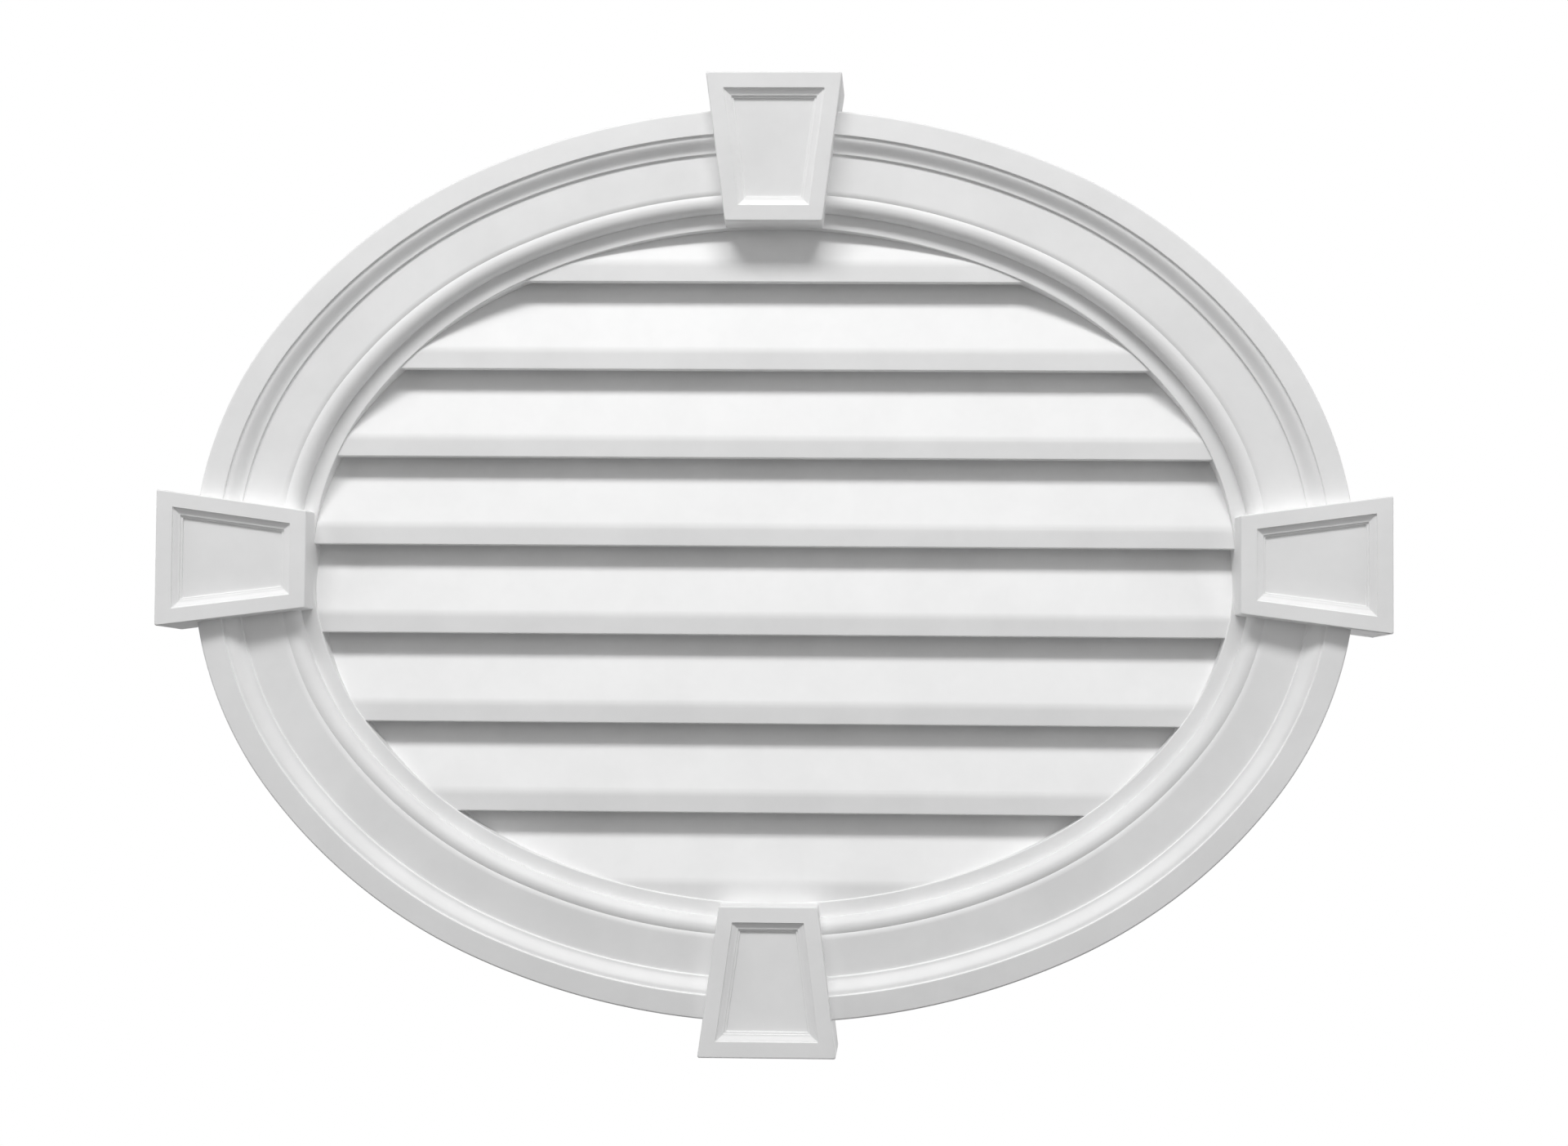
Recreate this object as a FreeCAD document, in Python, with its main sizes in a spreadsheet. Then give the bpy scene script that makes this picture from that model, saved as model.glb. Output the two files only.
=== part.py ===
"""Oval louvred gable vent with a moulded trim ring and four keystones.

The vent is one rigid foam moulding that is fixed flat against a gable wall.
Frame: the wall plane is y = 0, the front faces -Y, Z is up and the oval's centre is the origin.
Heights are measured forward from the wall plane. Sizes are in millimetres and degrees.
"""

import FreeCAD
import Part
import Sketcher
import math
import os

NODE = "vent_moulding"

SIZES = {
    # Clear oval inside the trim ring, drawn with arcs that turn into each other at these angles
    "opening_length": 795.4,
    "opening_height": 583.4,
    "end_arc_turn": 37.3,
    "shoulder_arc_turn": 66.0,
    # Trim ring, zone by zone from the opening outwards
    "rim_width": 13.2,
    "rim_height": 44.7,
    "bead_height": 58.6,
    "bead_inner_radius": 9.2,
    "bead_outer_radius": 11.8,
    "bead_outer_width": 4.6,
    "lip_radius": 9.9,
    "lip_width": 4.8,
    "fascia_width": 31.0,
    "step_rise": 2.3,
    "ogee_inner_ledge": 0.9,
    "ogee_width": 12.0,
    "ogee_rise": 6.9,
    "ogee_outer_ledge": 2.1,
    "band_width": 20.5,
    "band_arris": 1.5,
    # Louvres
    "louvre_pitch": 76.45,
    "top_reveal": 47.8,
    "nose_height": 43.0,
    "nose_face": 17.5,
    "nose_underside": 9.0,
    "slope_setback": 23.0,
    "louvre_overlap": 10.0,
    "louvre_thickness": 9.5,
    "louvre_embed": 10.0,
    "sill_gap": 5.0,
    # Keystones, which lean forward towards their outer ends
    "keystone_inner_height": 76.0,
    "keystone_tilt": 5.8,
    "keystone_length": 125.7,
    "keystone_outer_width": 116.5,
    "keystone_inner_width": 83.4,
    "keystone_draft": 1.0,
    "keystone_arris": 1.2,
    # Moulded panel sunk in each keystone's face
    "panel_side_inset": 13.2,
    "panel_end_inset": 13.6,
    "panel_step": 1.6,
    "panel_ogee_width": 5.6,
    "panel_ogee_drop": 2.4,
    "panel_ledge": 2.0,
}

CUT_MARGIN = 1.0

# An ogee in equal runs, level at both ends: shares of its width and of its rise.
OGEE_RUNS = 4
OGEE = [(i / OGEE_RUNS, (i / OGEE_RUNS) ** 2 * (3 - 2 * i / OGEE_RUNS)) for i in range(OGEE_RUNS + 1)]

X_AXIS = FreeCAD.Vector(1, 0, 0)
Y_AXIS = FreeCAD.Vector(0, 1, 0)
Z_AXIS = FreeCAD.Vector(0, 0, 1)
UPRIGHT = FreeCAD.Rotation(X_AXIS, 90)
FORWARD_SECTION = FreeCAD.Rotation(X_AXIS, 180)
UNTURNED = FreeCAD.Rotation()

# The opening's arcs: small at the two ends, larger at the shoulders, largest at top and bottom.
# The end arc is a little slacker than an ellipse's, and the other two close the quarter.
HALF_LENGTH = "Sizes.opening_length / 2"
HALF_HEIGHT = "Sizes.opening_height / 2"
END_SLACK = 1.052
END_RADIUS = f"({END_SLACK} * Sizes.opening_height ^ 2 / Sizes.opening_length / 2)"
END_COS, END_SIN = "cos(Sizes.end_arc_turn)", "sin(Sizes.end_arc_turn)"
TOP_COS, TOP_SIN = "cos(Sizes.shoulder_arc_turn)", "sin(Sizes.shoulder_arc_turn)"
LONG_REST = f"({HALF_LENGTH} - {END_RADIUS})"
HIGH_REST = f"({HALF_HEIGHT} - {END_RADIUS})"
CLOSURE = f"({END_COS} * (1 - {TOP_SIN}) - {TOP_COS} * (1 - {END_SIN}))"
SHOULDER_RADIUS = f"({END_RADIUS} + ({LONG_REST} * (1 - {TOP_SIN}) - {TOP_COS} * {HIGH_REST}) / {CLOSURE})"
TOP_RADIUS = f"({SHOULDER_RADIUS} + ({END_COS} * {HIGH_REST} - (1 - {END_SIN}) * {LONG_REST}) / {CLOSURE})"

doc = FreeCAD.newDocument("gable_vent")
sheet = doc.addObject("Spreadsheet::Sheet", "Sizes")
for row, (alias, size) in enumerate(SIZES.items(), start=1):
    sheet.set(f"A{row}", alias)
    sheet.set(f"B{row}", str(size))
    sheet.setAlias(f"B{row}", alias)
doc.recompute()


def number(expression):
    """The number that an expression on the sheet gives."""
    return float(sheet.evalExpression(expression))


def add(kind, name, **expressions):
    """Add a feature and tie the named properties to the sheet."""
    feature = doc.addObject(kind, name)
    for prop, expression in expressions.items():
        feature.setExpression(prop, expression)
    return feature


def place(feature, rotation, **base):
    """Turn a feature and tie the given coordinates of its base point to the sheet."""
    feature.Placement = FreeCAD.Placement(FreeCAD.Vector(), rotation)
    for axis, expression in base.items():
        feature.setExpression(f"Placement.Base.{axis}", expression)


def arc_between(start, end, radius):
    """Short arc from start to end; it turns left for a positive radius, right for a negative one."""
    chord = end - start
    left = FreeCAD.Vector(-chord.y, chord.x, 0).normalize()
    reach = math.sqrt(max(radius * radius - chord.Length * chord.Length / 4, 0.0))
    centre = (start + end) / 2 + left * math.copysign(reach, radius)
    ends = (start, end) if radius > 0 else (end, start)
    angles = [math.atan2(point.y - centre.y, point.x - centre.x) for point in ends]
    return Part.ArcOfCircle(Part.Circle(centre, Z_AXIS, abs(radius)), *angles)


def tie(sketch, kind, references, expression):
    """Add a sketch dimension that reads its size from the sheet."""
    index = sketch.addConstraint(Sketcher.Constraint(kind, *references, number(expression)))
    sketch.setExpression(f"Constraints[{index}]", expression)


def draw_loop(sketch, corners):
    """Draw a closed loop through corners (x, y), or (x, y, radius) where an arc leads onward.

    A sketch numbers its level axis -1, its upright axis -2, and its origin as point 1 of -1.
    """
    points = [FreeCAD.Vector(number(corner[0]), number(corner[1]), 0) for corner in corners]
    ends = []
    for i, corner in enumerate(corners):
        start, end = points[i], points[(i + 1) % len(points)]
        radius = number(corner[2]) if len(corner) == 3 else 0.0
        curve = arc_between(start, end, radius) if radius else Part.LineSegment(start, end)
        edge = sketch.addGeometry(curve)
        ends.append(((edge, 2), (edge, 1)) if radius < 0 else ((edge, 1), (edge, 2)))
    for i, (x, y, *radius) in enumerate(corners):
        corner = ends[i][0]
        sketch.addConstraint(Sketcher.Constraint("Coincident", *ends[i - 1][1], *corner))
        for kind, axis, expression in (("DistanceX", -2, x), ("DistanceY", -1, y)):
            if expression == "0":
                sketch.addConstraint(Sketcher.Constraint("PointOnObject", *corner, axis))
            else:
                tie(sketch, kind, (-1, 1, *corner), expression)
        if radius:
            tie(sketch, "Radius", corner[:1], f"abs({radius[0]})")


def mirror(name, source, normal):
    """Mirror image of a feature in a plane through the oval's centre."""
    mirrored = doc.addObject("Part::Mirroring", name)
    mirrored.Source = source
    mirrored.Normal = normal
    return mirrored


def fuse(name, shapes):
    """Join shapes into one."""
    joined = doc.addObject("Part::MultiFuse", name)
    joined.Shapes = shapes
    return joined


def oval(name, margin):
    """The opening's outline in the wall plane, a margin larger all round."""
    end, shoulder, top = (f"({radius} + {margin})" for radius in (END_RADIUS, SHOULDER_RADIUS, TOP_RADIUS))
    end_x = f"({LONG_REST} + {end} * {END_COS})"
    end_y = f"({end} * {END_SIN})"
    top_x = f"({top} * {TOP_COS})"
    top_y = f"({HALF_HEIGHT} - {TOP_RADIUS} + {top} * {TOP_SIN})"
    outline = doc.addObject("Sketcher::SketchObject", name)
    draw_loop(outline, [
        (f"{HALF_LENGTH} + {margin}", "0", end),
        (end_x, end_y, shoulder),
        (top_x, top_y, top),
        (f"-{top_x}", top_y, shoulder),
        (f"-{end_x}", end_y, end),
        (f"-{end_x}", f"-{end_y}", shoulder),
        (f"-{top_x}", f"-{top_y}", top),
        (top_x, f"-{top_y}", shoulder),
        (end_x, f"-{end_y}", end),
    ])
    place(outline, UPRIGHT)
    return outline


def trim_ring():
    """Sweep the moulding's section round the opening, so that its width is the same all round."""
    bead_foot = "Sizes.rim_width"
    bead_crest = f"{bead_foot} + Sizes.bead_inner_radius"
    groove = f"{bead_crest} + Sizes.bead_outer_width"
    fascia_inner = f"{groove} + Sizes.lip_width"
    fascia_outer = f"{fascia_inner} + Sizes.fascia_width"
    ogee_foot = f"{fascia_outer} + Sizes.ogee_inner_ledge"
    band_inner = f"{ogee_foot} + Sizes.ogee_width + Sizes.ogee_outer_ledge"
    band_outer = f"{band_inner} + Sizes.band_width"
    bead_fall = "(Sizes.bead_outer_radius - sqrt(Sizes.bead_outer_radius ^ 2 - Sizes.bead_outer_width ^ 2))"
    lip_rise = "(Sizes.lip_radius - sqrt(Sizes.lip_radius ^ 2 - Sizes.lip_width ^ 2))"
    groove_height = f"Sizes.bead_height - {bead_fall}"
    fascia_height = f"{groove_height} + {lip_rise}"
    ogee_base = f"{fascia_height} + Sizes.step_rise"
    ogee_top = f"{ogee_base} + Sizes.ogee_rise"
    band_height = f"{ogee_top} + Sizes.step_rise"
    ogee = [
        (f"{ogee_foot} + {run} * Sizes.ogee_width", f"{ogee_base} + {rise} * Sizes.ogee_rise")
        for run, rise in OGEE
    ]

    section = doc.addObject("Sketcher::SketchObject", "RingSection")
    draw_loop(section, [
        ("0", "0"),
        ("0", "Sizes.rim_height"),
        (bead_foot, "Sizes.rim_height"),
        (bead_foot, "Sizes.bead_height - Sizes.bead_inner_radius", "-Sizes.bead_inner_radius"),
        (bead_crest, "Sizes.bead_height", "-Sizes.bead_outer_radius"),
        (groove, groove_height, "-Sizes.lip_radius"),
        (fascia_inner, fascia_height),
        (fascia_outer, fascia_height),
        (fascia_outer, ogee_base),
        *ogee,
        (band_inner, ogee_top),
        (band_inner, band_height),
        (f"{band_outer} - Sizes.band_arris", band_height),
        (band_outer, f"{band_height} - Sizes.band_arris"),
        (band_outer, "0"),
    ])
    place(section, FORWARD_SECTION, x=HALF_LENGTH)
    path = oval("RingPath", "0")
    ring = doc.addObject("Part::Sweep", "TrimRing")
    ring.Sections = [section]
    ring.Spine = (path, [f"Edge{index + 1}" for index in range(path.GeometryCount)])
    ring.Solid = True
    ring.Frenet = True
    return ring


def louvres():
    """Overlapping slanted louvres with upright noses, trimmed to die into the trim ring."""
    slope = "Sizes.slope_setback / (Sizes.louvre_pitch - Sizes.nose_face)"
    top = "Sizes.louvre_pitch + Sizes.louvre_overlap"
    setback = f"({top} - Sizes.nose_face) * {slope}"
    shoulder = f"Sizes.nose_face + (Sizes.nose_underside - Sizes.louvre_thickness) / ({slope})"
    count = "ceil((Sizes.opening_height - Sizes.top_reveal - Sizes.sill_gap) / Sizes.louvre_pitch) + 1"
    length = "Sizes.opening_length + 2 * Sizes.louvre_embed"
    first_nose = "Sizes.opening_height / 2 - Sizes.top_reveal"
    sill_height = "(Sizes.sill_gap + Sizes.louvre_embed)"

    body = doc.addObject("PartDesign::Body", "LouvreBlades")
    body.AllowCompound = True
    roles = {feature.Role: feature for feature in body.Origin.OriginFeatures}
    section = body.newObject("Sketcher::SketchObject", "LouvreSection")
    section.AttachmentSupport = [(roles["YZ_Plane"], "")]
    section.MapMode = "FlatFace"
    draw_loop(section, [
        ("0", "0"),
        ("0", "Sizes.nose_face"),
        (setback, top),
        (f"{setback} + Sizes.louvre_thickness", top),
        ("Sizes.nose_underside", shoulder),
        ("Sizes.nose_underside", "0"),
    ])
    blade = body.newObject("PartDesign::Pad", "Louvre")
    blade.Profile = section
    blade.SideType = "Symmetric"
    blade.setExpression("Length", length)
    doc.recompute()
    blade_row = body.newObject("PartDesign::LinearPattern", "LouvreRow")
    blade_row.Originals = [blade]
    blade_row.Direction = (roles["Z_Axis"], [""])
    blade_row.Reversed = True
    blade_row.Mode = "Spacing"
    blade_row.setExpression("Offset", "Sizes.louvre_pitch")
    blade_row.setExpression("Occurrences", count)
    body.Tip = blade_row
    place(body, UNTURNED, y="-Sizes.nose_height", z=first_nose)

    # The lowest nose runs down into the ring, so that no gap is left under it.
    sill = add("Part::Box", "Sill", Length=length, Width="Sizes.nose_underside", Height=sill_height)
    sill_base = f"{first_nose} - ({count} - 1) * Sizes.louvre_pitch - {sill_height}"
    place(sill, UNTURNED, x=f"-({length}) / 2", y="-Sizes.nose_height", z=sill_base)
    blades = fuse("BladesAndSill", [body, sill])

    trim = add("Part::Extrusion", "LouvreTrim", LengthFwd="Sizes.nose_height")
    trim.Base = oval("LouvreOutline", "Sizes.louvre_embed")
    trim.DirMode = "Custom"
    trim.Dir = -Y_AXIS
    trim.Solid = True
    trimmed = doc.addObject("Part::Common", "Louvres")
    trimmed.Base = blades
    trimmed.Tool = trim
    return trimmed


def keystone_outline(name, inner_end, side, end, depth=None):
    """Outline of the top keystone, moved in from its sides and ends.

    It lies at a depth behind the leaning face, or in the wall plane where no depth is given.
    """
    spread = "((Sizes.keystone_outer_width - Sizes.keystone_inner_width) / 2 / Sizes.keystone_length)"
    side_shift = f"({side}) * sqrt(1 + {spread} ^ 2)"
    low = f"({end})"
    high = f"(Sizes.keystone_length - {low})"
    half_low = f"(Sizes.keystone_inner_width / 2 + {low} * {spread} - {side_shift})"
    half_high = f"(Sizes.keystone_inner_width / 2 + {high} * {spread} - {side_shift})"
    lean = "1" if depth is None else "cos(Sizes.keystone_tilt)"
    low_end = f"({inner_end} + {low}) / {lean}"
    high_end = f"({inner_end} + {high}) / {lean}"
    outline = doc.addObject("Sketcher::SketchObject", name)
    draw_loop(outline, [
        (f"-{half_low}", low_end),
        (half_low, low_end),
        (half_high, high_end),
        (f"-{half_high}", high_end),
    ])
    if depth is None:
        place(outline, UPRIGHT)
    else:
        centre_height = f"(Sizes.keystone_inner_height - {inner_end} * tan(Sizes.keystone_tilt))"
        place(outline, UPRIGHT, y=f"{depth} - {centre_height}")
        outline.setExpression("Placement.Rotation.Angle", "90 + Sizes.keystone_tilt")
    return outline


def loft(name, outlines):
    """Straight-sided solid through outlines."""
    solid = doc.addObject("Part::Loft", name)
    solid.Sections = outlines
    solid.Solid = True
    solid.Ruled = True
    return solid


def keystone_block(name, inner_end):
    """Top keystone without its panel: drafted all round, with a narrow arris round its face."""
    flare = "-Sizes.keystone_inner_height * tan(Sizes.keystone_draft)"
    arris = "Sizes.keystone_arris"
    return loft(name, [
        keystone_outline(f"{name}Foot", inner_end, flare, flare),
        keystone_outline(f"{name}Edge", inner_end, "0", "0", arris),
        keystone_outline(f"{name}Face", inner_end, arris, arris, "0"),
    ])


def keystone_panel(name, inner_end):
    """Hollow panel in the top keystone's face: a step, an ogee, a step, a ledge and a step."""
    ogee = [
        (f"{run} * Sizes.panel_ogee_width", f"Sizes.panel_step + {fall} * Sizes.panel_ogee_drop")
        for run, fall in OGEE
    ]
    foot = "Sizes.panel_ogee_width + Sizes.panel_ledge"
    levels = [
        ("0", f"-{CUT_MARGIN}"),
        *ogee,
        ("Sizes.panel_ogee_width", "2 * Sizes.panel_step + Sizes.panel_ogee_drop"),
        (foot, "2 * Sizes.panel_step + Sizes.panel_ogee_drop"),
        (foot, "3 * Sizes.panel_step + Sizes.panel_ogee_drop"),
    ]
    outlines = []
    for index, (inset, depth) in enumerate(levels):
        side = f"Sizes.panel_side_inset + {inset}"
        end = f"Sizes.panel_end_inset + {inset}"
        outlines.append(keystone_outline(f"{name}{index}", inner_end, side, end, depth))
    return loft(name, outlines)


def all_four(name, form):
    """A form of the keystone at the top, the bottom, the right and the left of the opening."""
    top = form(f"Top{name}", HALF_HEIGHT)
    end = form(f"End{name}", HALF_LENGTH)
    return [
        top,
        mirror(f"Bottom{name}", top, Z_AXIS),
        mirror(f"Right{name}", end, X_AXIS - Z_AXIS),
        mirror(f"Left{name}", end, X_AXIS + Z_AXIS),
    ]


moulding = doc.addObject("Part::Cut", "VentMoulding")
moulding.Label = NODE
moulding.Base = fuse("PlainMoulding", [trim_ring(), louvres(), *all_four("Keystone", keystone_block)])
moulding.Tool = fuse("Panels", all_four("Panel", keystone_panel))
moulding.Refine = True
doc.recompute()

for feature in doc.Objects:
    if {"Invalid", "Error"} & set(feature.State):
        raise RuntimeError(f"{feature.Label} failed: {feature.State}")
if moulding.Shape.isNull() or not moulding.Shape.isValid() or len(moulding.Shape.Solids) != 1:
    raise RuntimeError(f"{moulding.Label} is not one valid solid")
os.makedirs("parts", exist_ok=True)
moulding.Shape.exportStep(f"parts/{moulding.Label}.step")
print(moulding.Label, round(moulding.Shape.Volume), "mm3", moulding.Shape.BoundBox)
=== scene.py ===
"""Oval louvred gable vent: one white primed moulding in a plain white studio.

Lengths are in metres unless a name ends in mm, and angles held in fields are in degrees. The wall
plane is y = 0, the front faces -Y, Z is up and the oval's centre is the origin. In sections, "out"
runs from the opening's edge outwards and "height" runs forward from the wall.
"""

import logging
import math
from dataclasses import dataclass
from enum import Enum
from typing import Any, Iterable, NamedTuple, Sequence

import bmesh
import bpy
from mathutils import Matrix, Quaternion, Vector

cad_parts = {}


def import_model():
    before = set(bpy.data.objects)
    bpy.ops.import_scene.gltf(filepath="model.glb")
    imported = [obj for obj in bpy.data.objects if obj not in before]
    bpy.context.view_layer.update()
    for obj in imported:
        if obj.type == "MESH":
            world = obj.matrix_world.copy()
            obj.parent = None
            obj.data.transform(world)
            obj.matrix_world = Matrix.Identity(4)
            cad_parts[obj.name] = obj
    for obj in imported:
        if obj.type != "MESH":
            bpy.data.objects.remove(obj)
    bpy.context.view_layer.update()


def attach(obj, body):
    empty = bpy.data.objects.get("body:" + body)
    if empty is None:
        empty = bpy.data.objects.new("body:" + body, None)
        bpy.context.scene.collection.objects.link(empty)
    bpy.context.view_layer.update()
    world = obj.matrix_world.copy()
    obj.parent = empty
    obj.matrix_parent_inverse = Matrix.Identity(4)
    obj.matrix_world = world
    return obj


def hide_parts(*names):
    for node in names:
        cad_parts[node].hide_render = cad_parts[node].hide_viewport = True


LOG = logging.getLogger("gable_vent")
NODE = "vent_moulding"
BODY = "root"
MM = 0.001

Point = tuple[float, float]
Place = tuple[float, float, float]


class Corner(NamedTuple):
    """A corner of an outline, rounded with its own radius."""

    across: float
    height: float
    radius: float = 0.0


class Side(Enum):
    """Where a keystone sits; the value is where it points, in degrees from +X towards +Z."""

    RIGHT = 0.0
    TOP = 90.0
    LEFT = 180.0
    BOTTOM = 270.0

    @property
    def on_long_axis(self) -> bool:
        """Whether the keystone sits at an end of the oval's long axis."""
        return self in (Side.RIGHT, Side.LEFT)


class Casting(Enum):
    """How a form joins the moulding; the value is the boolean's operation."""

    ON = "UNION"
    IN = "DIFFERENCE"


def linear(hex_colour: str) -> tuple[float, float, float, float]:
    """Turn an sRGB hex colour into linear RGBA.

    Args:
        hex_colour: Six hex digits after a hash.

    Returns:
        The linear colour with an alpha of one.
    """
    shares = [int(hex_colour[i:i + 2], 16) / 255 for i in (1, 3, 5)]
    red, green, blue = (s / 12.92 if s <= 0.04045 else ((s + 0.055) / 1.055) ** 2.4 for s in shares)
    return red, green, blue, 1.0


def per_metre(size_mm: float) -> float:
    """Texture scale at which a pattern's features are this many millimetres wide."""
    return 1 / (size_mm * MM)


def add_node(
    tree: bpy.types.NodeTree,
    kind: str,
    settings: dict[str, Any] | None = None,
    inputs: dict[str | int, Any] | None = None,
) -> bpy.types.Node:
    """Add a node, set its properties and fill or link its inputs.

    Args:
        tree: Tree that gets the node.
        kind: Type name of the node.
        settings: Properties of the node, by name.
        inputs: Values, or output sockets to link, by the input's name or number.

    Returns:
        The new node.
    """
    node = tree.nodes.new(kind)
    for name, value in (settings or {}).items():
        setattr(node, name, value)
    for key, value in (inputs or {}).items():
        if isinstance(value, bpy.types.NodeSocket):
            tree.links.new(value, node.inputs[key])
        else:
            node.inputs[key].default_value = value
    return node


def rounded_outline(corners: Sequence[Corner], steps: int) -> list[Point]:
    """Round the corners of a closed outline.

    Args:
        corners: Corners in order; those with no radius stay as they are.
        steps: Straight runs in each rounded corner.

    Returns:
        The points of the rounded outline, in the same order.
    """
    points: list[Point] = []
    for i, corner in enumerate(corners):
        here = Vector(corner[:2])
        if not corner.radius:
            points.append(here.to_tuple())
            continue
        before = (Vector(corners[i - 1][:2]) - here).normalized()
        after = (Vector(corners[(i + 1) % len(corners)][:2]) - here).normalized()
        half_angle = before.angle(after) / 2
        centre = here + (before + after).normalized() * corner.radius / math.sin(half_angle)
        reach = corner.radius / math.tan(half_angle)
        start = here + before * reach - centre
        turn = start.angle_signed(here + after * reach - centre)
        for step in range(steps + 1):
            angle = -turn * step / steps
            cos, sin = math.cos(angle), math.sin(angle)
            points.append((
                centre.x + start.x * cos - start.y * sin,
                centre.y + start.x * sin + start.y * cos,
            ))
    return points


def arc_corners(centre: Point, radius: float, start: float, end: float, steps: int) -> list[Corner]:
    """Corners along an arc.

    Args:
        centre: The arc's centre.
        radius: The arc's radius.
        start: First angle in degrees.
        end: Last angle in degrees.
        steps: Straight runs along the arc.

    Returns:
        Unrounded corners, both ends included.
    """
    x, y = centre
    angles = (math.radians(start + (end - start) * i / steps) for i in range(steps + 1))
    return [Corner(x + radius * math.cos(a), y + radius * math.sin(a)) for a in angles]


def ogee_corners(start: Point, end: Point, steps: int) -> list[Corner]:
    """Corners along an S-curve that is level at both ends.

    Args:
        start: First point.
        end: Last point.
        steps: Straight runs along the curve.

    Returns:
        Unrounded corners, both ends included.
    """
    x, y = start
    run, rise = end[0] - x, end[1] - y
    shares = (i / steps for i in range(steps + 1))
    return [Corner(x + run * t, y + rise * t * t * (3 - 2 * t)) for t in shares]


def mesh_object(name: str, mesh: bpy.types.Mesh) -> bpy.types.Object:
    """Put a mesh into the scene as an object at the origin.

    Args:
        name: Name of the object.
        mesh: The object's mesh.

    Returns:
        The object.
    """
    obj = bpy.data.objects.new(name, mesh)
    bpy.context.scene.collection.objects.link(obj)
    return obj


def loop_object(name: str, points: Iterable[Point]) -> bpy.types.Object:
    """Make a closed loop of edges in the XY plane.

    Args:
        name: Name of the object.
        points: The loop's points in order.

    Returns:
        The object, which has no faces.
    """
    corners = [(x, y, 0.0) for x, y in points]
    edges = [(i, (i + 1) % len(corners)) for i in range(len(corners))]
    mesh = bpy.data.meshes.new(name)
    mesh.from_pydata(corners, edges, [])
    return mesh_object(name, mesh)


def lofted_mesh(name: str, loops: Sequence[Sequence[Vector]]) -> bpy.types.Mesh:
    """Skin loops of equal length into a closed solid with a flat cap on each end.

    Args:
        name: Name of the mesh.
        loops: Loops in order from one cap to the other.

    Returns:
        The mesh, with its faces turned outwards.
    """
    solid = bmesh.new()
    rings = [[solid.verts.new(point) for point in loop] for loop in loops]
    for low, high in zip(rings, rings[1:]):
        for i in range(len(low)):
            j = (i + 1) % len(low)
            solid.faces.new((low[i], low[j], high[j], high[i]))
    solid.faces.new(rings[0])
    solid.faces.new(rings[-1])
    bmesh.ops.recalc_face_normals(solid, faces=solid.faces)
    mesh = bpy.data.meshes.new(name)
    solid.to_mesh(mesh)
    solid.free()
    return mesh


def apply_modifiers(obj: bpy.types.Object) -> None:
    """Make what an object's modifiers give its plain mesh, and take the modifiers off.

    Args:
        obj: The object.
    """
    graph = bpy.context.evaluated_depsgraph_get()
    shown = obj.evaluated_get(graph)
    made = bpy.data.meshes.new_from_object(shown, preserve_all_data_layers=True, depsgraph=graph)
    obj.modifiers.clear()
    obj.data = made


def grow_nodes(obj: bpy.types.Object, tree: bpy.types.NodeTree, values: dict[str, Any]) -> None:
    """Run a geometry tree on an object and keep the result as its mesh.

    Args:
        obj: Object whose mesh goes into the tree.
        tree: The geometry tree.
        values: Values of the tree's named inputs.
    """
    modifier = obj.modifiers.new(tree.name, "NODES")
    modifier.node_group = tree
    for item in tree.interface.items_tree:
        if item.in_out == "INPUT" and item.name in values:
            modifier[item.identifier] = values[item.name]
    apply_modifiers(obj)


def new_tree(name: str, sockets: dict[str, str]) -> tuple[bpy.types.NodeTree, bpy.types.Node]:
    """Start a geometry tree that takes a mesh named Shape.

    Args:
        name: Name of the tree.
        sockets: Socket types of its other inputs, by name.

    Returns:
        The tree and its input node.
    """
    tree = bpy.data.node_groups.new(name, "GeometryNodeTree")
    tree.interface.new_socket("Shape", in_out="OUTPUT", socket_type="NodeSocketGeometry")
    tree.interface.new_socket("Shape", in_out="INPUT", socket_type="NodeSocketGeometry")
    for label, kind in sockets.items():
        tree.interface.new_socket(label, in_out="INPUT", socket_type=kind)
    return tree, add_node(tree, "NodeGroupInput")


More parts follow.
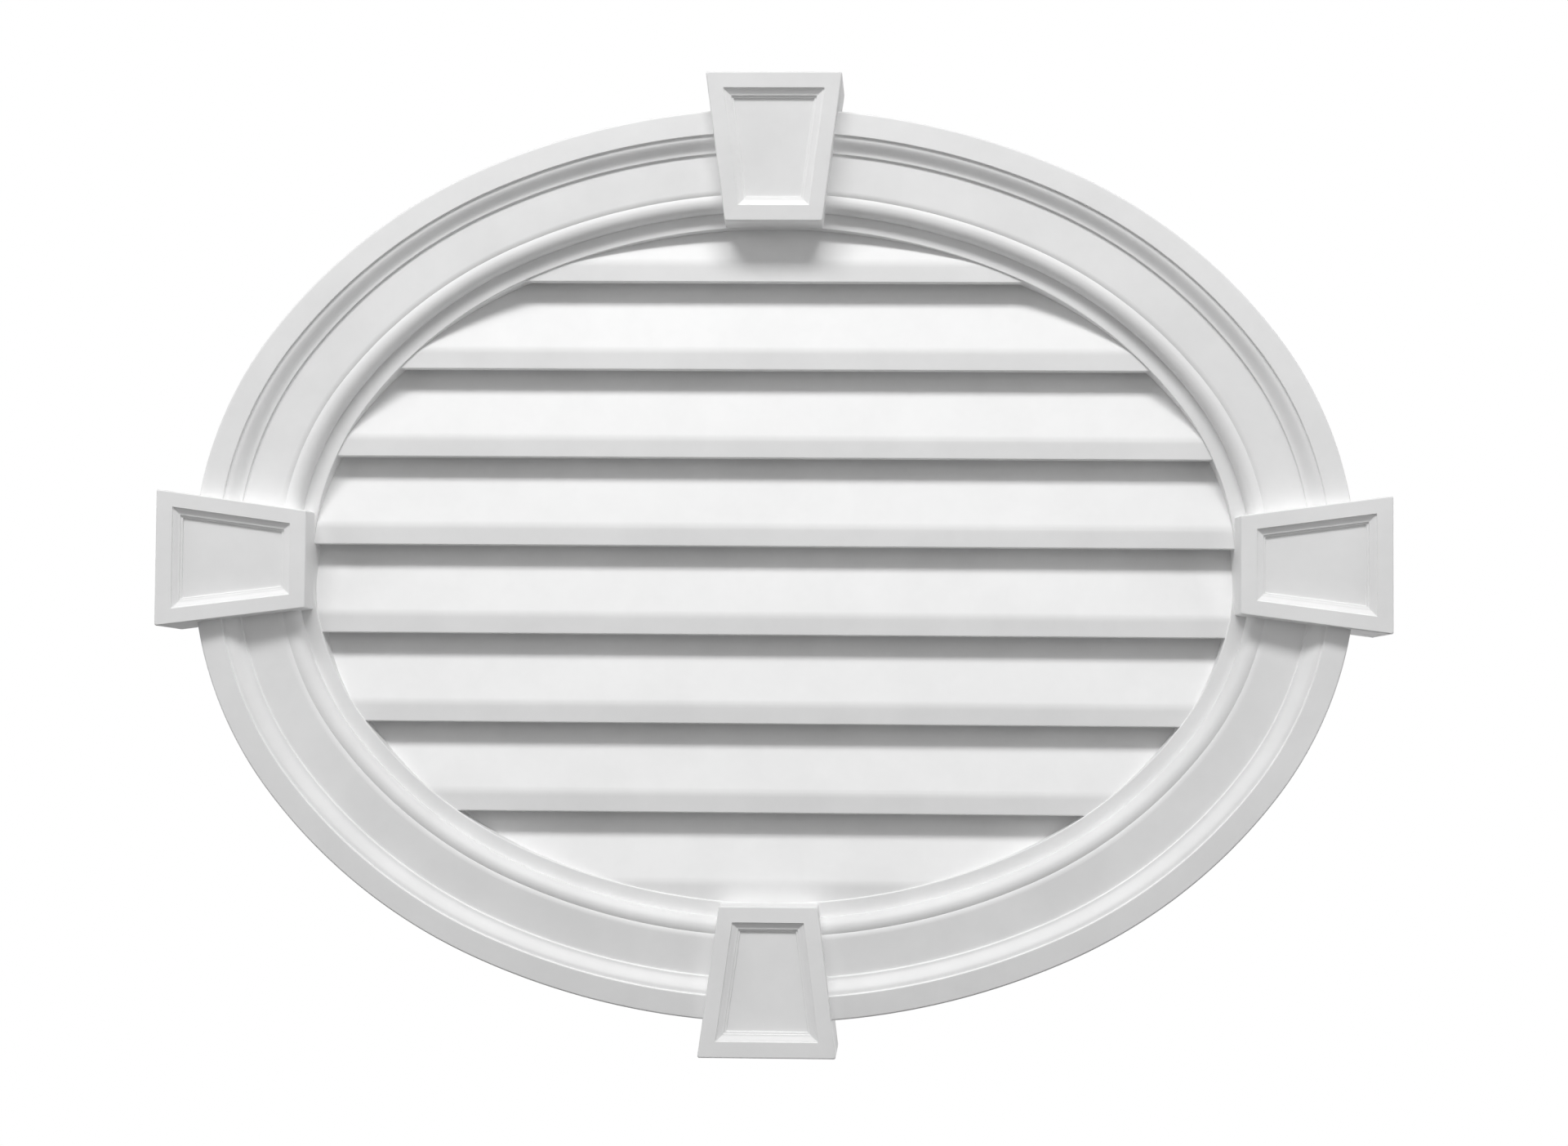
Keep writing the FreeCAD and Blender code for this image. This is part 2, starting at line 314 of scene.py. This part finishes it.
@dataclass(frozen=True)
class PrimedFoam:
    """Moulded rigid polyurethane foam under a sprayed white primer."""

    # An even, cool white with no gloss: the eye sees a faint cloudiness, the slow waves that the
    # foam takes on as it cures in the mould, and a fine eggshell tooth from the spray.
    light: str = "#F1F1F1"
    shade: str = "#EBEBEB"
    roughness: float = 0.56
    roughness_spread: float = 0.08
    ior: float = 1.5
    cloud_mm: float = 70.0
    cloud_detail: float = 4.0
    cloud_grain: float = 0.6
    cloud_span: tuple[float, float] = (0.35, 0.65)
    wave_mm: float = 45.0
    wave_detail: float = 1.0
    wave_depth_mm: float = 0.10
    # Real spray tooth is about 0.3 mm wide; it is drawn coarser so that it shows at all.
    tooth_mm: float = 1.2
    tooth_detail: float = 2.0
    tooth_depth_mm: float = 0.012

    def material(self) -> bpy.types.Material:
        """Build the finish's node material.

        Returns:
            The material, whose patterns lie on Object coordinates.
        """
        material = bpy.data.materials.new("primed_polyurethane_foam")
        material.use_nodes = True
        tree = material.node_tree
        tree.nodes.clear()
        place = add_node(tree, "ShaderNodeTexCoord").outputs["Object"]
        cloud = add_node(tree, "ShaderNodeTexNoise", inputs={
            "Vector": place,
            "Scale": per_metre(self.cloud_mm),
            "Detail": self.cloud_detail,
            "Roughness": self.cloud_grain,
        })
        colour = add_node(tree, "ShaderNodeValToRGB", inputs={"Fac": cloud.outputs["Fac"]})
        tints = (self.shade, self.light)
        for stop, position, tint in zip(colour.color_ramp.elements, self.cloud_span, tints):
            stop.position = position
            stop.color = linear(tint)
        gloss = add_node(tree, "ShaderNodeMapRange", inputs={
            "Value": cloud.outputs["Fac"],
            "To Min": self.roughness - self.roughness_spread,
            "To Max": self.roughness + self.roughness_spread,
        })
        wave = add_node(tree, "ShaderNodeTexNoise", inputs={
            "Vector": place, "Scale": per_metre(self.wave_mm), "Detail": self.wave_detail,
        })
        waves = add_node(tree, "ShaderNodeBump", inputs={
            "Height": wave.outputs["Fac"], "Distance": self.wave_depth_mm * MM, "Strength": 1.0,
        })
        tooth = add_node(tree, "ShaderNodeTexNoise", inputs={
            "Vector": place, "Scale": per_metre(self.tooth_mm), "Detail": self.tooth_detail,
        })
        relief = add_node(tree, "ShaderNodeBump", inputs={
            "Height": tooth.outputs["Fac"],
            "Distance": self.tooth_depth_mm * MM,
            "Strength": 1.0,
            "Normal": waves.outputs["Normal"],
        })
        surface = add_node(tree, "ShaderNodeBsdfPrincipled", inputs={
            "Base Color": colour.outputs["Color"],
            "Roughness": gloss.outputs["Result"],
            "IOR": self.ior,
            "Normal": relief.outputs["Normal"],
        })
        add_node(tree, "ShaderNodeOutputMaterial", inputs={"Surface": surface.outputs["BSDF"]})
        return material


@dataclass(frozen=True)
class Oval:
    """Clear opening inside the trim ring, drawn with arcs that run smoothly into each other."""

    half_length: float = 397.7 * MM
    half_height: float = 291.7 * MM
    end_turn: float = 37.3
    shoulder_turn: float = 66.0
    end_slack: float = 1.052
    step: float = 5.0 * MM

    @property
    def end_radius(self) -> float:
        """Radius of the arcs at the two ends, a little slacker than an ellipse's."""
        return self.end_slack * self.half_height ** 2 / self.half_length

    @property
    def arcs(self) -> list[tuple[Point, float, float, float]]:
        """Arcs of the first quarter, from the right-hand end to the top.

        Returns:
            Centre, radius, and first and last angle in degrees of each arc.
        """
        end, top = math.radians(self.end_turn), math.radians(self.shoulder_turn)
        long_rest = self.half_length - self.end_radius
        high_rest = self.half_height - self.end_radius
        closure = math.cos(end) * (1 - math.sin(top)) - math.cos(top) * (1 - math.sin(end))
        shoulder_gain = (long_rest * (1 - math.sin(top)) - math.cos(top) * high_rest) / closure
        top_gain = (math.cos(end) * high_rest - (1 - math.sin(end)) * long_rest) / closure
        shoulder_radius = self.end_radius + shoulder_gain
        top_radius = shoulder_radius + top_gain
        shoulder_x = long_rest - shoulder_gain * math.cos(end)
        shoulder_centre = (shoulder_x, -shoulder_gain * math.sin(end))
        return [
            ((long_rest, 0.0), self.end_radius, 0.0, self.end_turn),
            (shoulder_centre, shoulder_radius, self.end_turn, self.shoulder_turn),
            ((0.0, self.half_height - top_radius), top_radius, self.shoulder_turn, 90.0),
        ]

    def outline(self) -> list[Point]:
        """Draw the whole oval.

        Returns:
            Its points, running anticlockwise from the right-hand end.
        """
        quarter: list[Point] = []
        for centre, radius, start, end in self.arcs:
            steps = round(radius * math.radians(end - start) / self.step)
            arc = arc_corners(centre, radius, start, end, steps)
            quarter += [corner[:2] for corner in arc[:-1]]
        half = quarter + [(0.0, self.half_height)] + [(-x, y) for x, y in reversed(quarter[1:])]
        return half + [(-x, -y) for x, y in half]

    def reach(self, side: Side) -> float:
        """How far the opening's edge is from its centre, straight towards a side."""
        return self.half_length if side.on_long_axis else self.half_height


@dataclass(frozen=True)
class TrimRing:
    """Moulded ring round the opening: rim, bead, fascia, ogee and outer band."""

    oval: Oval
    rim_width: float = 13.2 * MM
    rim_height: float = 44.7 * MM
    bead_height: float = 58.6 * MM
    bead_inner_radius: float = 9.2 * MM
    bead_outer_radius: float = 11.8 * MM
    bead_outer_width: float = 4.6 * MM
    lip_radius: float = 9.9 * MM
    lip_width: float = 4.8 * MM
    fascia_width: float = 31.0 * MM
    step_rise: float = 2.3 * MM
    ogee_inner_ledge: float = 0.9 * MM
    ogee_width: float = 12.0 * MM
    ogee_rise: float = 6.9 * MM
    ogee_outer_ledge: float = 2.1 * MM
    band_width: float = 20.5 * MM
    rim_round: float = 1.0 * MM
    step_round: float = 0.8 * MM
    band_round: float = 1.6 * MM
    back_round: float = 0.8 * MM
    round_steps: int = 4
    curve_steps: int = 10

    def section(self) -> list[Point]:
        """Draw the moulding's section.

        Returns:
            Its outline: out from the opening's edge, and forward from the wall.
        """
        foot = self.rim_width
        crest = foot + self.bead_inner_radius
        groove = crest + self.bead_outer_width
        fascia_inner = groove + self.lip_width
        fascia_outer = fascia_inner + self.fascia_width
        ogee_foot = fascia_outer + self.ogee_inner_ledge
        ogee_top = ogee_foot + self.ogee_width
        band_inner = ogee_top + self.ogee_outer_ledge
        band_outer = band_inner + self.band_width
        bead_turn = math.asin(self.bead_outer_width / self.bead_outer_radius)
        lip_turn = math.asin(self.lip_width / self.lip_radius)
        groove_height = self.bead_height - self.bead_outer_radius * (1 - math.cos(bead_turn))
        fascia = groove_height + self.lip_radius * (1 - math.cos(lip_turn))
        lower = fascia + self.step_rise
        upper = lower + self.ogee_rise
        band = upper + self.step_rise
        inner_centre = (crest, self.bead_height - self.bead_inner_radius)
        outer_centre = (crest, self.bead_height - self.bead_outer_radius)
        lip_centre = (fascia_inner, fascia - self.lip_radius)
        bead_end = 90.0 - math.degrees(bead_turn)
        lip_start = 90.0 + math.degrees(lip_turn)
        steps = self.curve_steps
        return rounded_outline([
            Corner(0.0, 0.0, self.back_round),
            Corner(0.0, self.rim_height, self.rim_round),
            Corner(foot, self.rim_height),
            *arc_corners(inner_centre, self.bead_inner_radius, 180.0, 90.0, steps),
            *arc_corners(outer_centre, self.bead_outer_radius, 90.0, bead_end, steps)[1:],
            *arc_corners(lip_centre, self.lip_radius, lip_start, 90.0, steps)[1:],
            Corner(fascia_outer, fascia, self.step_round),
            Corner(fascia_outer, lower, self.step_round),
            *ogee_corners((ogee_foot, lower), (ogee_top, upper), steps),
            Corner(band_inner, upper, self.step_round),
            Corner(band_inner, band, self.step_round),
            Corner(band_outer, band, self.band_round),
            Corner(band_outer, 0.0, self.back_round),
        ], self.round_steps)

    def sweep_tree(self) -> bpy.types.NodeTree:
        """Build the tree that runs the section round the oval and stands the ring upright.

        Returns:
            The geometry tree.
        """
        tree, given = new_tree("trim_ring_sweep", {
            "Section": "NodeSocketObject",
            "Upright": "NodeSocketRotation",
            "Finish": "NodeSocketMaterial",
        })
        path = add_node(tree, "GeometryNodeMeshToCurve", inputs={"Mesh": given.outputs["Shape"]})
        level = add_node(tree, "GeometryNodeSetCurveNormal", {"mode": "Z_UP"}, {
            "Curve": path.outputs["Curve"],
        })
        drawn = add_node(tree, "GeometryNodeObjectInfo", inputs={
            "Object": given.outputs["Section"],
        })
        section = add_node(tree, "GeometryNodeMeshToCurve", inputs={
            "Mesh": drawn.outputs["Geometry"],
        })
        swept = add_node(tree, "GeometryNodeCurveToMesh", inputs={
            "Curve": level.outputs["Curve"], "Profile Curve": section.outputs["Curve"],
        })
        upright = add_node(tree, "GeometryNodeTransform", inputs={
            "Geometry": swept.outputs["Mesh"], "Rotation": given.outputs["Upright"],
        })
        plain = add_node(tree, "GeometryNodeRealizeInstances", inputs={
            "Geometry": upright.outputs["Geometry"],
        })
        dressed = add_node(tree, "GeometryNodeSetMaterial", inputs={
            "Geometry": plain.outputs["Geometry"], "Material": given.outputs["Finish"],
        })
        add_node(tree, "NodeGroupOutput", inputs={"Shape": dressed.outputs["Geometry"]})
        return tree

    def build(self, finish: bpy.types.Material) -> bpy.types.Object:
        """Sweep the ring.

        Args:
            finish: Material of the ring.

        Returns:
            The ring as one closed mesh.
        """
        # Drawn backwards, so that the swept faces point outwards.
        section = loop_object("trim_ring_section", reversed(self.section()))
        ring = loop_object("trim_ring", self.oval.outline())
        upright = (math.radians(-90), 0.0, 0.0)
        grow_nodes(ring, self.sweep_tree(), {
            "Section": section, "Upright": upright, "Finish": finish,
        })
        bpy.data.objects.remove(section)
        return ring


@dataclass(frozen=True)
class LouvreRow:
    """Overlapping slanted louvres with upright noses, whose ends are cast into the trim ring."""

    oval: Oval
    count: int = 8
    pitch: float = 76.45 * MM
    top_reveal: float = 47.8 * MM
    nose_height: float = 43.0 * MM
    nose_face: float = 17.5 * MM
    nose_underside: float = 9.0 * MM
    slope_setback: float = 23.0 * MM
    overlap: float = 10.0 * MM
    thickness: float = 9.5 * MM
    embed: float = 7.0 * MM
    nose_round: float = 1.2 * MM
    brow_round: float = 20.0 * MM
    sill_drop: float = 15.0 * MM
    sill_lap: float = 4.0 * MM
    sill_inset: float = 0.2 * MM
    round_steps: int = 4

    @property
    def first_nose(self) -> float:
        """Height of the top louvre's lower edge above the oval's centre."""
        return self.oval.half_height - self.top_reveal

    @property
    def rise(self) -> float:
        """Height of one louvre."""
        return self.pitch + self.overlap

    def section(self) -> list[Point]:
        """Draw a louvre's section.

        Returns:
            Its outline: back from the nose's face, and up from its lower edge.
        """
        slope = self.slope_setback / (self.pitch - self.nose_face)
        setback = (self.rise - self.nose_face) * slope
        shoulder = self.nose_face + (self.nose_underside - self.thickness) / slope
        return rounded_outline([
            Corner(0.0, 0.0, self.nose_round),
            Corner(0.0, self.nose_face, self.brow_round),
            Corner(setback, self.rise, self.nose_round),
            Corner(setback + self.thickness, self.rise, self.nose_round),
            Corner(self.nose_underside, shoulder, self.brow_round),
            Corner(self.nose_underside, 0.0, self.nose_round),
        ], self.round_steps)

    def row_tree(self) -> bpy.types.NodeTree:
        """Build the tree that repeats a louvre down the opening, as long as the oval is wide there.

        Returns:
            The geometry tree.
        """
        tree, given = new_tree("louvre_row", {
            "Count": "NodeSocketInt",
            "First Nose": "NodeSocketVector",
            "Step": "NodeSocketVector",
            "Rise": "NodeSocketFloat",
            "Half Length": "NodeSocketFloat",
            "Half Height": "NodeSocketFloat",
            "Embed": "NodeSocketFloat",
            "Finish": "NodeSocketMaterial",
        })
        sizes = given.outputs
        noses = add_node(tree, "GeometryNodeMeshLine", inputs={
            "Count": sizes["Count"], "Start Location": sizes["First Nose"], "Offset": sizes["Step"],
        })
        position = add_node(tree, "GeometryNodeInputPosition").outputs["Position"]
        nose = add_node(tree, "ShaderNodeSeparateXYZ", inputs={0: position}).outputs["Z"]
        # The height at which the oval is widest along this louvre, and half of its width there.
        half = nose
        for operation, operand in (
            ("ADD", sizes["Rise"]),
            ("MINIMUM", 0.0),
            ("MAXIMUM", nose),
            ("DIVIDE", sizes["Half Height"]),
            ("ARCSINE", 0.0),
            ("COSINE", 0.0),
            ("MULTIPLY", sizes["Half Length"]),
            ("ADD", sizes["Embed"]),
        ):
            made = add_node(tree, "ShaderNodeMath", {"operation": operation}, {0: half, 1: operand})
            half = made.outputs[0]
        stretch = add_node(tree, "ShaderNodeCombineXYZ", inputs={"X": half, "Y": 1.0, "Z": 1.0})
        row = add_node(tree, "GeometryNodeInstanceOnPoints", inputs={
            "Points": noses.outputs["Mesh"],
            "Instance": sizes["Shape"],
            "Scale": stretch.outputs["Vector"],
        })
        plain = add_node(tree, "GeometryNodeRealizeInstances", inputs={
            "Geometry": row.outputs["Instances"],
        })
        dressed = add_node(tree, "GeometryNodeSetMaterial", inputs={
            "Geometry": plain.outputs["Geometry"], "Material": sizes["Finish"],
        })
        add_node(tree, "NodeGroupOutput", inputs={"Shape": dressed.outputs["Geometry"]})
        return tree

    def build(self, finish: bpy.types.Material) -> bpy.types.Object:
        """Make the row of louvres.

        Args:
            finish: Material of the louvres.

        Returns:
            The louvres as separate closed shells in one mesh.
        """
        section = self.section()
        front = -self.nose_height
        ends = [[Vector((x, front + back, up)) for back, up in section] for x in (-1.0, 1.0)]
        row = mesh_object("louvres", lofted_mesh("louvre", ends))
        grow_nodes(row, self.row_tree(), {
            "Count": self.count,
            "First Nose": (0.0, 0.0, self.first_nose),
            "Step": (0.0, 0.0, -self.pitch),
            "Rise": self.rise,
            "Half Length": self.oval.half_length,
            "Half Height": self.oval.half_height,
            "Embed": self.embed,
            "Finish": finish,
        })
        return row

    def build_sill(self, finish: bpy.types.Material) -> bpy.types.Object:
        """Make the sill that runs down from the lowest louvre into the ring.

        Args:
            finish: Material of the sill.

        Returns:
            The sill as a closed mesh.
        """
        lowest = self.first_nose - (self.count - 1) * self.pitch
        front = -self.nose_height + self.sill_inset
        back = -self.nose_height + self.nose_underside - self.sill_inset
        outline = [(front, lowest - self.sill_drop), (front, lowest + self.sill_lap),
                   (back, lowest + self.sill_lap), (back, lowest - self.sill_drop)]
        reach = self.oval.half_length / 2
        ends = [[Vector((x, *point)) for point in outline] for x in (-reach, reach)]
        sill = mesh_object("sill", lofted_mesh("sill", ends))
        sill.data.materials.append(finish)
        return sill


@dataclass(frozen=True)
class Keystone:
    """Tapered block across the trim ring, with a leaning face and a moulded panel sunk in it."""

    oval: Oval
    side: Side
    inner_height: float = 76.0 * MM
    tilt: float = 5.8
    length: float = 125.7 * MM
    outer_width: float = 116.5 * MM
    inner_width: float = 83.4 * MM
    draft: float = 1.0
    edge_round: float = 1.2 * MM
    corner_round: float = 1.6 * MM
    panel_side_inset: float = 13.2 * MM
    panel_end_inset: float = 13.6 * MM
    panel_step: float = 1.6 * MM
    panel_ogee_width: float = 5.6 * MM
    panel_ogee_drop: float = 2.4 * MM
    panel_ledge: float = 2.0 * MM
    panel_round: float = 0.3 * MM
    panel_corner_round: float = 0.5 * MM
    round_steps: int = 4
    curve_steps: int = 8

    def loop(self, depth: float, side: float, end: float, corner: float) -> list[Vector]:
        """One level of the keystone: its outline, moved in and set back from the leaning face.

        Args:
            depth: How far behind the face the level is.
            side: How far the two sides move in.
            end: How far the two ends move in.
            corner: Radius of the corners.

        Returns:
            The level's points in the vent's frame.
        """
        spread = (self.outer_width - self.inner_width) / 2 / self.length
        shift = side * math.hypot(1.0, spread)
        low, high = end, self.length - end
        half_low, half_high = (self.inner_width / 2 + out * spread - shift for out in (low, high))
        start = self.oval.reach(self.side)
        outline = rounded_outline([
            Corner(-half_low, start + low, corner),
            Corner(half_low, start + low, corner),
            Corner(half_high, start + high, corner),
            Corner(-half_high, start + high, corner),
        ], self.round_steps)
        angle = math.radians(self.side.value)
        out_x, out_z = math.cos(angle), math.sin(angle)
        lean = math.tan(math.radians(self.tilt))
        points = []
        for across, out in outline:
            y = depth - self.inner_height - (out - start) * lean
            points.append(Vector((out * out_x + across * out_z, y, out * out_z - across * out_x)))
        return points

    def block_loops(self) -> list[list[Vector]]:
        """Shape the block, drafted all round and rounded at its face.

        Returns:
            Its levels from the wall to the face.
        """
        flare = self.inner_height * math.tan(math.radians(self.draft))
        foot = self.loop(0.0, -flare, -flare, self.corner_round)
        loops = [[Vector((x, 0.0, z)) for x, _, z in foot]]
        for step in range(self.round_steps + 1):
            angle = math.radians(90) * step / self.round_steps
            inset = self.edge_round * (1 - math.cos(angle))
            depth = self.edge_round * (1 - math.sin(angle))
            loops.append(self.loop(depth, inset, inset, self.corner_round))
        return loops

    def panel_loops(self) -> list[list[Vector]]:
        """Shape the hollow of the panel: step, ogee, step, ledge, step and floor.

        Returns:
            Its levels from just before the face to the floor.
        """
        step, width = self.panel_step, self.panel_ogee_width
        foot = width + self.panel_ledge
        ogee_end = step + self.panel_ogee_drop
        profile = rounded_outline([
            Corner(-2 * self.panel_round, -self.panel_round),
            Corner(-self.panel_round, 0.0),
            Corner(0.0, self.panel_round),
            *ogee_corners((0.0, step), (width, ogee_end), self.curve_steps),
            Corner(width, ogee_end + step, self.panel_round),
            Corner(foot, ogee_end + step, self.panel_round),
            Corner(foot, ogee_end + 2 * step, self.panel_round),
            Corner(foot + self.panel_ledge, ogee_end + 2 * step),
        ], self.round_steps)
        loops = []
        for inset, depth in profile:
            side, end = self.panel_side_inset + inset, self.panel_end_inset + inset
            loops.append(self.loop(depth, side, end, self.panel_corner_round))
        return loops

    def build(
        self, loops: Sequence[Sequence[Vector]], finish: bpy.types.Material
    ) -> bpy.types.Object:
        """Make the keystone's block or its hollow.

        Args:
            loops: Levels of the form.
            finish: Material of the form.

        Returns:
            The form as a closed mesh.
        """
        name = f"keystone_{self.side.name.lower()}"
        form = mesh_object(name, lofted_mesh(name, loops))
        form.data.materials.append(finish)
        return form


@dataclass(frozen=True)
class VentMoulding:
    """The whole vent, cast as one piece."""

    oval: Oval = Oval()
    finish: PrimedFoam = PrimedFoam()
    crease_angle: float = 32.0

    def combine(self, whole: bpy.types.Object, form: bpy.types.Object, casting: Casting) -> None:
        """Cast a closed form onto the moulding, or sink it in.

        Args:
            whole: The moulding so far.
            form: The form, which is used up.
            casting: Whether the form is cast on or sunk in.
        """
        faces = len(form.data.polygons)
        LOG.info("%s cast %s, %d faces", form.name, casting.name.lower(), faces)
        cast = whole.modifiers.new("cast", "BOOLEAN")
        cast.operation = casting.value
        cast.solver = "MANIFOLD"
        cast.object = form
        apply_modifiers(whole)
        bpy.data.objects.remove(form)

    def smooth(self, whole: bpy.types.Object) -> None:
        """Shade the moulding smooth, with creases left sharp and flats kept flat.

        Args:
            whole: The moulding.
        """
        mesh = whole.data
        mesh.shade_smooth()
        mesh.set_sharp_from_angle(angle=math.radians(self.crease_angle))
        flats = whole.modifiers.new("flats", "WEIGHTED_NORMAL")
        flats.keep_sharp = True
        apply_modifiers(whole)

    def build(self) -> bpy.types.Object:
        """Make the moulding and tie it to the frame.

        Returns:
            The moulding as one closed mesh.
        """
        material = self.finish.material()
        whole = TrimRing(self.oval).build(material)
        louvres = LouvreRow(self.oval)
        self.combine(whole, louvres.build(material), Casting.ON)
        self.combine(whole, louvres.build_sill(material), Casting.ON)
        for side in Side:
            keystone = Keystone(self.oval, side)
            self.combine(whole, keystone.build(keystone.block_loops(), material), Casting.ON)
            self.combine(whole, keystone.build(keystone.panel_loops(), material), Casting.IN)
        self.smooth(whole)
        whole.name = whole.data.name = "primed_vent_moulding"
        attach(whole, BODY)
        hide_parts(NODE)
        return whole


@dataclass(frozen=True)
class FloorPaint:
    """Matte paint on the studio's floor."""

    # An even white with no gloss. The eye sees it paler than the weak light down there makes it,
    # and the shadow on it stays.
    colour: str = "#F4F4F4"
    roughness: float = 0.9
    lift: float = 0.55

    def material(self) -> bpy.types.Material:
        """Build the paint's node material.

        Returns:
            The material.
        """
        material = bpy.data.materials.new("pale_studio_floor")
        material.use_nodes = True
        tree = material.node_tree
        tree.nodes.clear()
        seen = add_node(tree, "ShaderNodeLightPath").outputs["Is Camera Ray"]
        lift = add_node(tree, "ShaderNodeMath", {"operation": "MULTIPLY"}, {0: seen, 1: self.lift})
        paint = add_node(tree, "ShaderNodeBsdfPrincipled", inputs={
            "Base Color": linear(self.colour),
            "Roughness": self.roughness,
            "Emission Color": linear(self.colour),
            "Emission Strength": lift.outputs["Value"],
        })
        add_node(tree, "ShaderNodeOutputMaterial", inputs={"Surface": paint.outputs["BSDF"]})
        return material


@dataclass(frozen=True)
class Studio:
    """White studio: a key lamp over the front, weak lamps around, a pale floor and the camera."""

    key_place: Place = (-0.2, -1.8, 2.28)
    key_size: tuple[float, float] = (2.2, 0.6)
    key_watts: float = 60.5
    side_place: Place = (1.6, -0.8, 0.3)
    side_size: tuple[float, float] = (1.2, 1.6)
    side_watts: float = 6.0
    front_place: Place = (0.2, -3.0, 0.2)
    front_size: tuple[float, float] = (2.4, 1.6)
    front_watts: float = 7.5
    back_place: Place = (0.9, 2.6, -0.3)
    back_size: tuple[float, float] = (2.4, 0.6)
    back_watts: float = 20.0
    fill: float = 0.24
    fill_blur: float = 0.3
    ground: str = "#FFFFFF"
    floor_paint: FloorPaint = FloorPaint()
    floor_height: float = -2.6
    floor_reach: float = 1.4
    camera_place: Place = (0.0736, -2.2432, -0.0984)
    camera_aim: Place = (0.0092, 0.0, -0.0063)
    camera_roll: float = 0.43
    sensor_mm: float = 36.0
    lens_mm: float = 58.65

    def lamp(self, name: str, place: Place, size: tuple[float, float], watts: float) -> None:
        """Hang a soft lamp that faces the vent's middle.

        Args:
            name: Name of the lamp.
            place: Where its middle is.
            size: Its width and height.
            watts: Its power.
        """
        soft = bpy.data.lights.new(name, "AREA")
        soft.shape = "RECTANGLE"
        soft.size, soft.size_y = size
        soft.energy = watts
        lamp = bpy.data.objects.new(name, soft)
        lamp.location = place
        lamp.rotation_euler = (-Vector(place)).to_track_quat("-Z", "Y").to_euler()
        bpy.context.scene.collection.objects.link(lamp)

    def light(self) -> None:
        """Hang the key lamp, and weak lamps by the camera, on each side and behind."""
        x, y, z = self.side_place
        self.lamp("key_lamp", self.key_place, self.key_size, self.key_watts)
        self.lamp("front_lamp", self.front_place, self.front_size, self.front_watts)
        self.lamp("back_lamp", self.back_place, self.back_size, self.back_watts)
        self.lamp("right_lamp", (x, y, z), self.side_size, self.side_watts)
        self.lamp("left_lamp", (-x, y, z), self.side_size, self.side_watts)

    def surround(self) -> None:
        """White ground for the eye, and a soft light on the vent from above and in front."""
        world = bpy.data.worlds.new("white_studio")
        world.use_nodes = True
        tree = world.node_tree
        tree.nodes.clear()
        rays = add_node(tree, "ShaderNodeLightPath").outputs
        seen = rays["Is Camera Ray"]
        for ray in ("Is Glossy Ray", "Is Transmission Ray"):
            inputs = {0: seen, 1: rays[ray]}
            seen = add_node(tree, "ShaderNodeMath", {"operation": "MAXIMUM"}, inputs).outputs[0]
        white = add_node(tree, "ShaderNodeBackground", inputs={
            "Color": linear(self.ground), "Strength": 1.0,
        })
        way = add_node(tree, "ShaderNodeTexCoord").outputs["Generated"]
        ways = add_node(tree, "ShaderNodeSeparateXYZ", inputs={0: way}).outputs
        blur = {"From Min": -self.fill_blur, "From Max": self.fill_blur}
        above = add_node(tree, "ShaderNodeMapRange", inputs={
            "Value": ways["Z"], **blur, "To Min": 0.0, "To Max": self.fill,
        })
        ahead = add_node(tree, "ShaderNodeMapRange", inputs={
            "Value": ways["Y"], **blur, "To Min": 1.0, "To Max": 0.0,
        })
        glow = add_node(tree, "ShaderNodeMath", {"operation": "MULTIPLY"}, {
            0: above.outputs["Result"], 1: ahead.outputs["Result"],
        })
        soft = add_node(tree, "ShaderNodeBackground", inputs={
            "Color": linear(self.ground), "Strength": glow.outputs["Value"],
        })
        mixed = add_node(tree, "ShaderNodeMixShader", inputs={
            0: seen, 1: soft.outputs["Background"], 2: white.outputs["Background"],
        })
        add_node(tree, "ShaderNodeOutputWorld", inputs={"Surface": mixed.outputs["Shader"]})
        bpy.context.scene.world = world

    def floor(self) -> None:
        """Lay the pale floor well below the vent, which hangs as it does on a wall."""
        reach = self.floor_reach
        mesh = bpy.data.meshes.new("studio_floor")
        corners = [(-reach, -reach), (reach, -reach), (reach, reach), (-reach, reach)]
        mesh.from_pydata([(x, y, self.floor_height) for x, y in corners], [], [(0, 1, 2, 3)])
        mesh.materials.append(self.floor_paint.material())
        mesh_object("studio_floor", mesh)

    def camera(self) -> None:
        """Set up the camera at the picture's viewpoint, a little low and right of square-on."""
        lens = bpy.data.cameras.new("camera")
        lens.sensor_fit = "HORIZONTAL"
        lens.sensor_width = self.sensor_mm
        lens.lens = self.lens_mm
        camera = bpy.data.objects.new("camera", lens)
        camera.location = self.camera_place
        look = (Vector(self.camera_aim) - Vector(self.camera_place)).to_track_quat("-Z", "Y")
        roll = Quaternion((0.0, 0.0, 1.0), math.radians(self.camera_roll))
        camera.rotation_euler = (look @ roll).to_euler()
        bpy.context.scene.collection.objects.link(camera)
        bpy.context.scene.camera = camera

    def build(self) -> None:
        """Set up the light, the ground and the camera."""
        self.light()
        self.surround()
        self.floor()
        self.camera()
        bpy.context.scene.view_settings.view_transform = "Standard"


def main() -> None:
    """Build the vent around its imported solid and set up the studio."""
    logging.basicConfig(level=logging.INFO, format="%(name)s: %(message)s")
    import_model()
    vent = VentMoulding().build()
    LOG.info("%s: %d faces", vent.name, len(vent.data.polygons))
    Studio().build()


if __name__ == "__main__":
    main()
